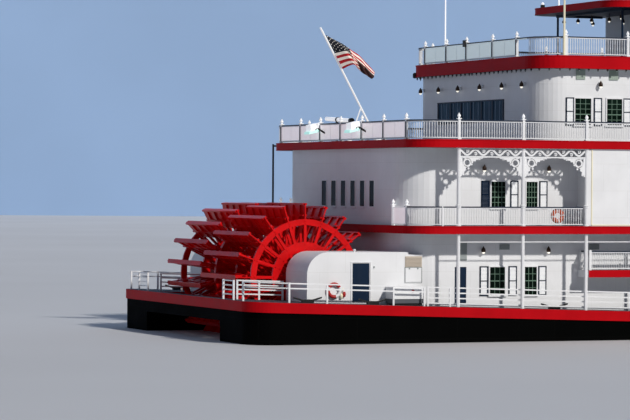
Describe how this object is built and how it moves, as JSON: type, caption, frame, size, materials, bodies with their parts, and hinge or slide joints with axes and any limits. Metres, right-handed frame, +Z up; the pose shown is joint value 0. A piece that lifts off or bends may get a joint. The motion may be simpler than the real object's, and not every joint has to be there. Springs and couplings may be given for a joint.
{
  "type": "sternwheel paddle boat, 1:2 scale model",
  "caption": "River passenger boat with a red sternwheel in a stern well, stacked decks with rails, deckhouses, pilothouse, twin chimneys and rudders.",
  "frame": {"origin": "centre of the flat bottom: on the centreline, at half length, at the lowest point", "axes": "+X to the bow, +Y to port, +Z up"},
  "size_m": [32.45, 11.3, 14.6103],
  "materials": {
    "hull_black": "satin black paint, dusty",
    "chimney_black": "satin black paint",
    "deck_red": "glossy bright red paint at the edges, grey walking surface on top",
    "wheel_red": "wet glossy red paint",
    "house_white": "satin white paint on welded plate",
    "door_navy": "satin dark blue paint",
    "post_navy": "satin dark blue paint",
    "machine_grey": "grey machine enamel",
    "flag_cloth": "woven cloth",
    "rail_white": "satin white paint"
  },
  "bodies": {
    "boat": {"rail_fore_starboard": "rail_white", "rail_fore_port": "rail_white", "gallery_starboard": "rail_white", "gallery_port": "rail_white", "house_2": "house_white", "rail_3_starboard": "rail_white", "rail_3_port": "rail_white", "main_deck": "deck_red", "rail_aft_starboard": "rail_white", "rail_aft_port": "rail_white", "rail_4_starboard": "rail_white", "rail_4_port": "rail_white", "colonnade_starboard": "rail_white", "colonnade_port": "rail_white", "house_1": "house_white", "chimney_starboard": "chimney_black", "chimney_port": "chimney_black", "house_3": "house_white", "texas": "house_white", "housing_starboard": "house_white", "housing_port": "house_white", "rail_3_stern": "rail_white", "pilothouse": "house_white", "mezzanine_starboard": "deck_red", "mezzanine_port": "deck_red", "rail_4_stern": "rail_white", "side_deck_starboard": "deck_red", "side_deck_port": "deck_red", "deck_2": "deck_red", "deck_3": "deck_red", "deck_4": "deck_red", "canopy_roof": "deck_red", "rail_inner_starboard": "rail_white", "rail_inner_port": "rail_white", "flagstaff": "rail_white", "hull": "hull_black", "canopy_frame": "post_navy", "flag": "flag_cloth", "drive_starboard": "machine_grey", "drive_port": "machine_grey", "rail_stern_starboard": "rail_white", "rail_stern_port": "rail_white", "rudder_bracket_starboard": "hull_black", "rudder_bracket_port": "hull_black", "sponson_starboard": "hull_black", "sponson_port": "hull_black", "capstan_base": "hull_black", "pilothouse_roof": "deck_red", "jackstaff": "rail_white", "stern_crossbeam": "hull_black", "stern_deck": "deck_red", "chimney_tie": "chimney_black"},
    "paddlewheel": {"paddlewheel": "wheel_red"},
    "rudder_starboard": {"rudder_starboard": "hull_black"},
    "rudder_port": {"rudder_port": "hull_black"},
    "housing_door_starboard": {"housing_door_starboard": "door_navy"},
    "housing_door_port": {"housing_door_port": "door_navy"},
    "side_door_starboard": {"side_door_starboard": "door_navy"},
    "side_door_port": {"side_door_port": "door_navy"},
    "capstan": {"capstan": "hull_black"}
  },
  "joints": [
    {"name": "paddlewheel_spin", "type": "hinge", "parent": "boat", "child": "paddlewheel", "pos_m": [-13.575, 0, 2.85], "axis": [0, 1, 0], "continuous": true},
    {"name": "rudder_starboard_turn", "type": "hinge", "parent": "boat", "child": "rudder_starboard", "pos_m": [-11.4, -1.6, 0.5], "axis": [0, 0, 1], "range_deg": [-35, 35]},
    {"name": "rudder_port_turn", "type": "hinge", "parent": "boat", "child": "rudder_port", "pos_m": [-11.4, 1.6, 0.5], "axis": [0, 0, 1], "range_deg": [-35, 35]},
    {"name": "housing_door_starboard_swing", "type": "hinge", "parent": "boat", "child": "housing_door_starboard", "pos_m": [-12.417, -4.7325, 2.7], "axis": [0, 0, 1], "range_deg": [0, 95]},
    {"name": "housing_door_port_swing", "type": "hinge", "parent": "boat", "child": "housing_door_port", "pos_m": [-12.417, 4.7325, 2.7], "axis": [0, 0, 1], "range_deg": [-95, 0]},
    {"name": "side_door_starboard_swing", "type": "hinge", "parent": "boat", "child": "side_door_starboard", "pos_m": [-9.472, -4.7375, 2.6], "axis": [0, 0, 1], "range_deg": [0, 95]},
    {"name": "side_door_port_swing", "type": "hinge", "parent": "boat", "child": "side_door_port", "pos_m": [-9.472, 4.7375, 2.6], "axis": [0, 0, 1], "range_deg": [-95, 0]},
    {"name": "capstan_spin", "type": "hinge", "parent": "boat", "child": "capstan", "pos_m": [11.025, 0, 2.25], "axis": [0, 0, 1], "continuous": true}
  ],
  "couplings": [
    {"joint": "rudder_port_turn", "follows": "rudder_starboard_turn", "ratio": 1}
  ]
}
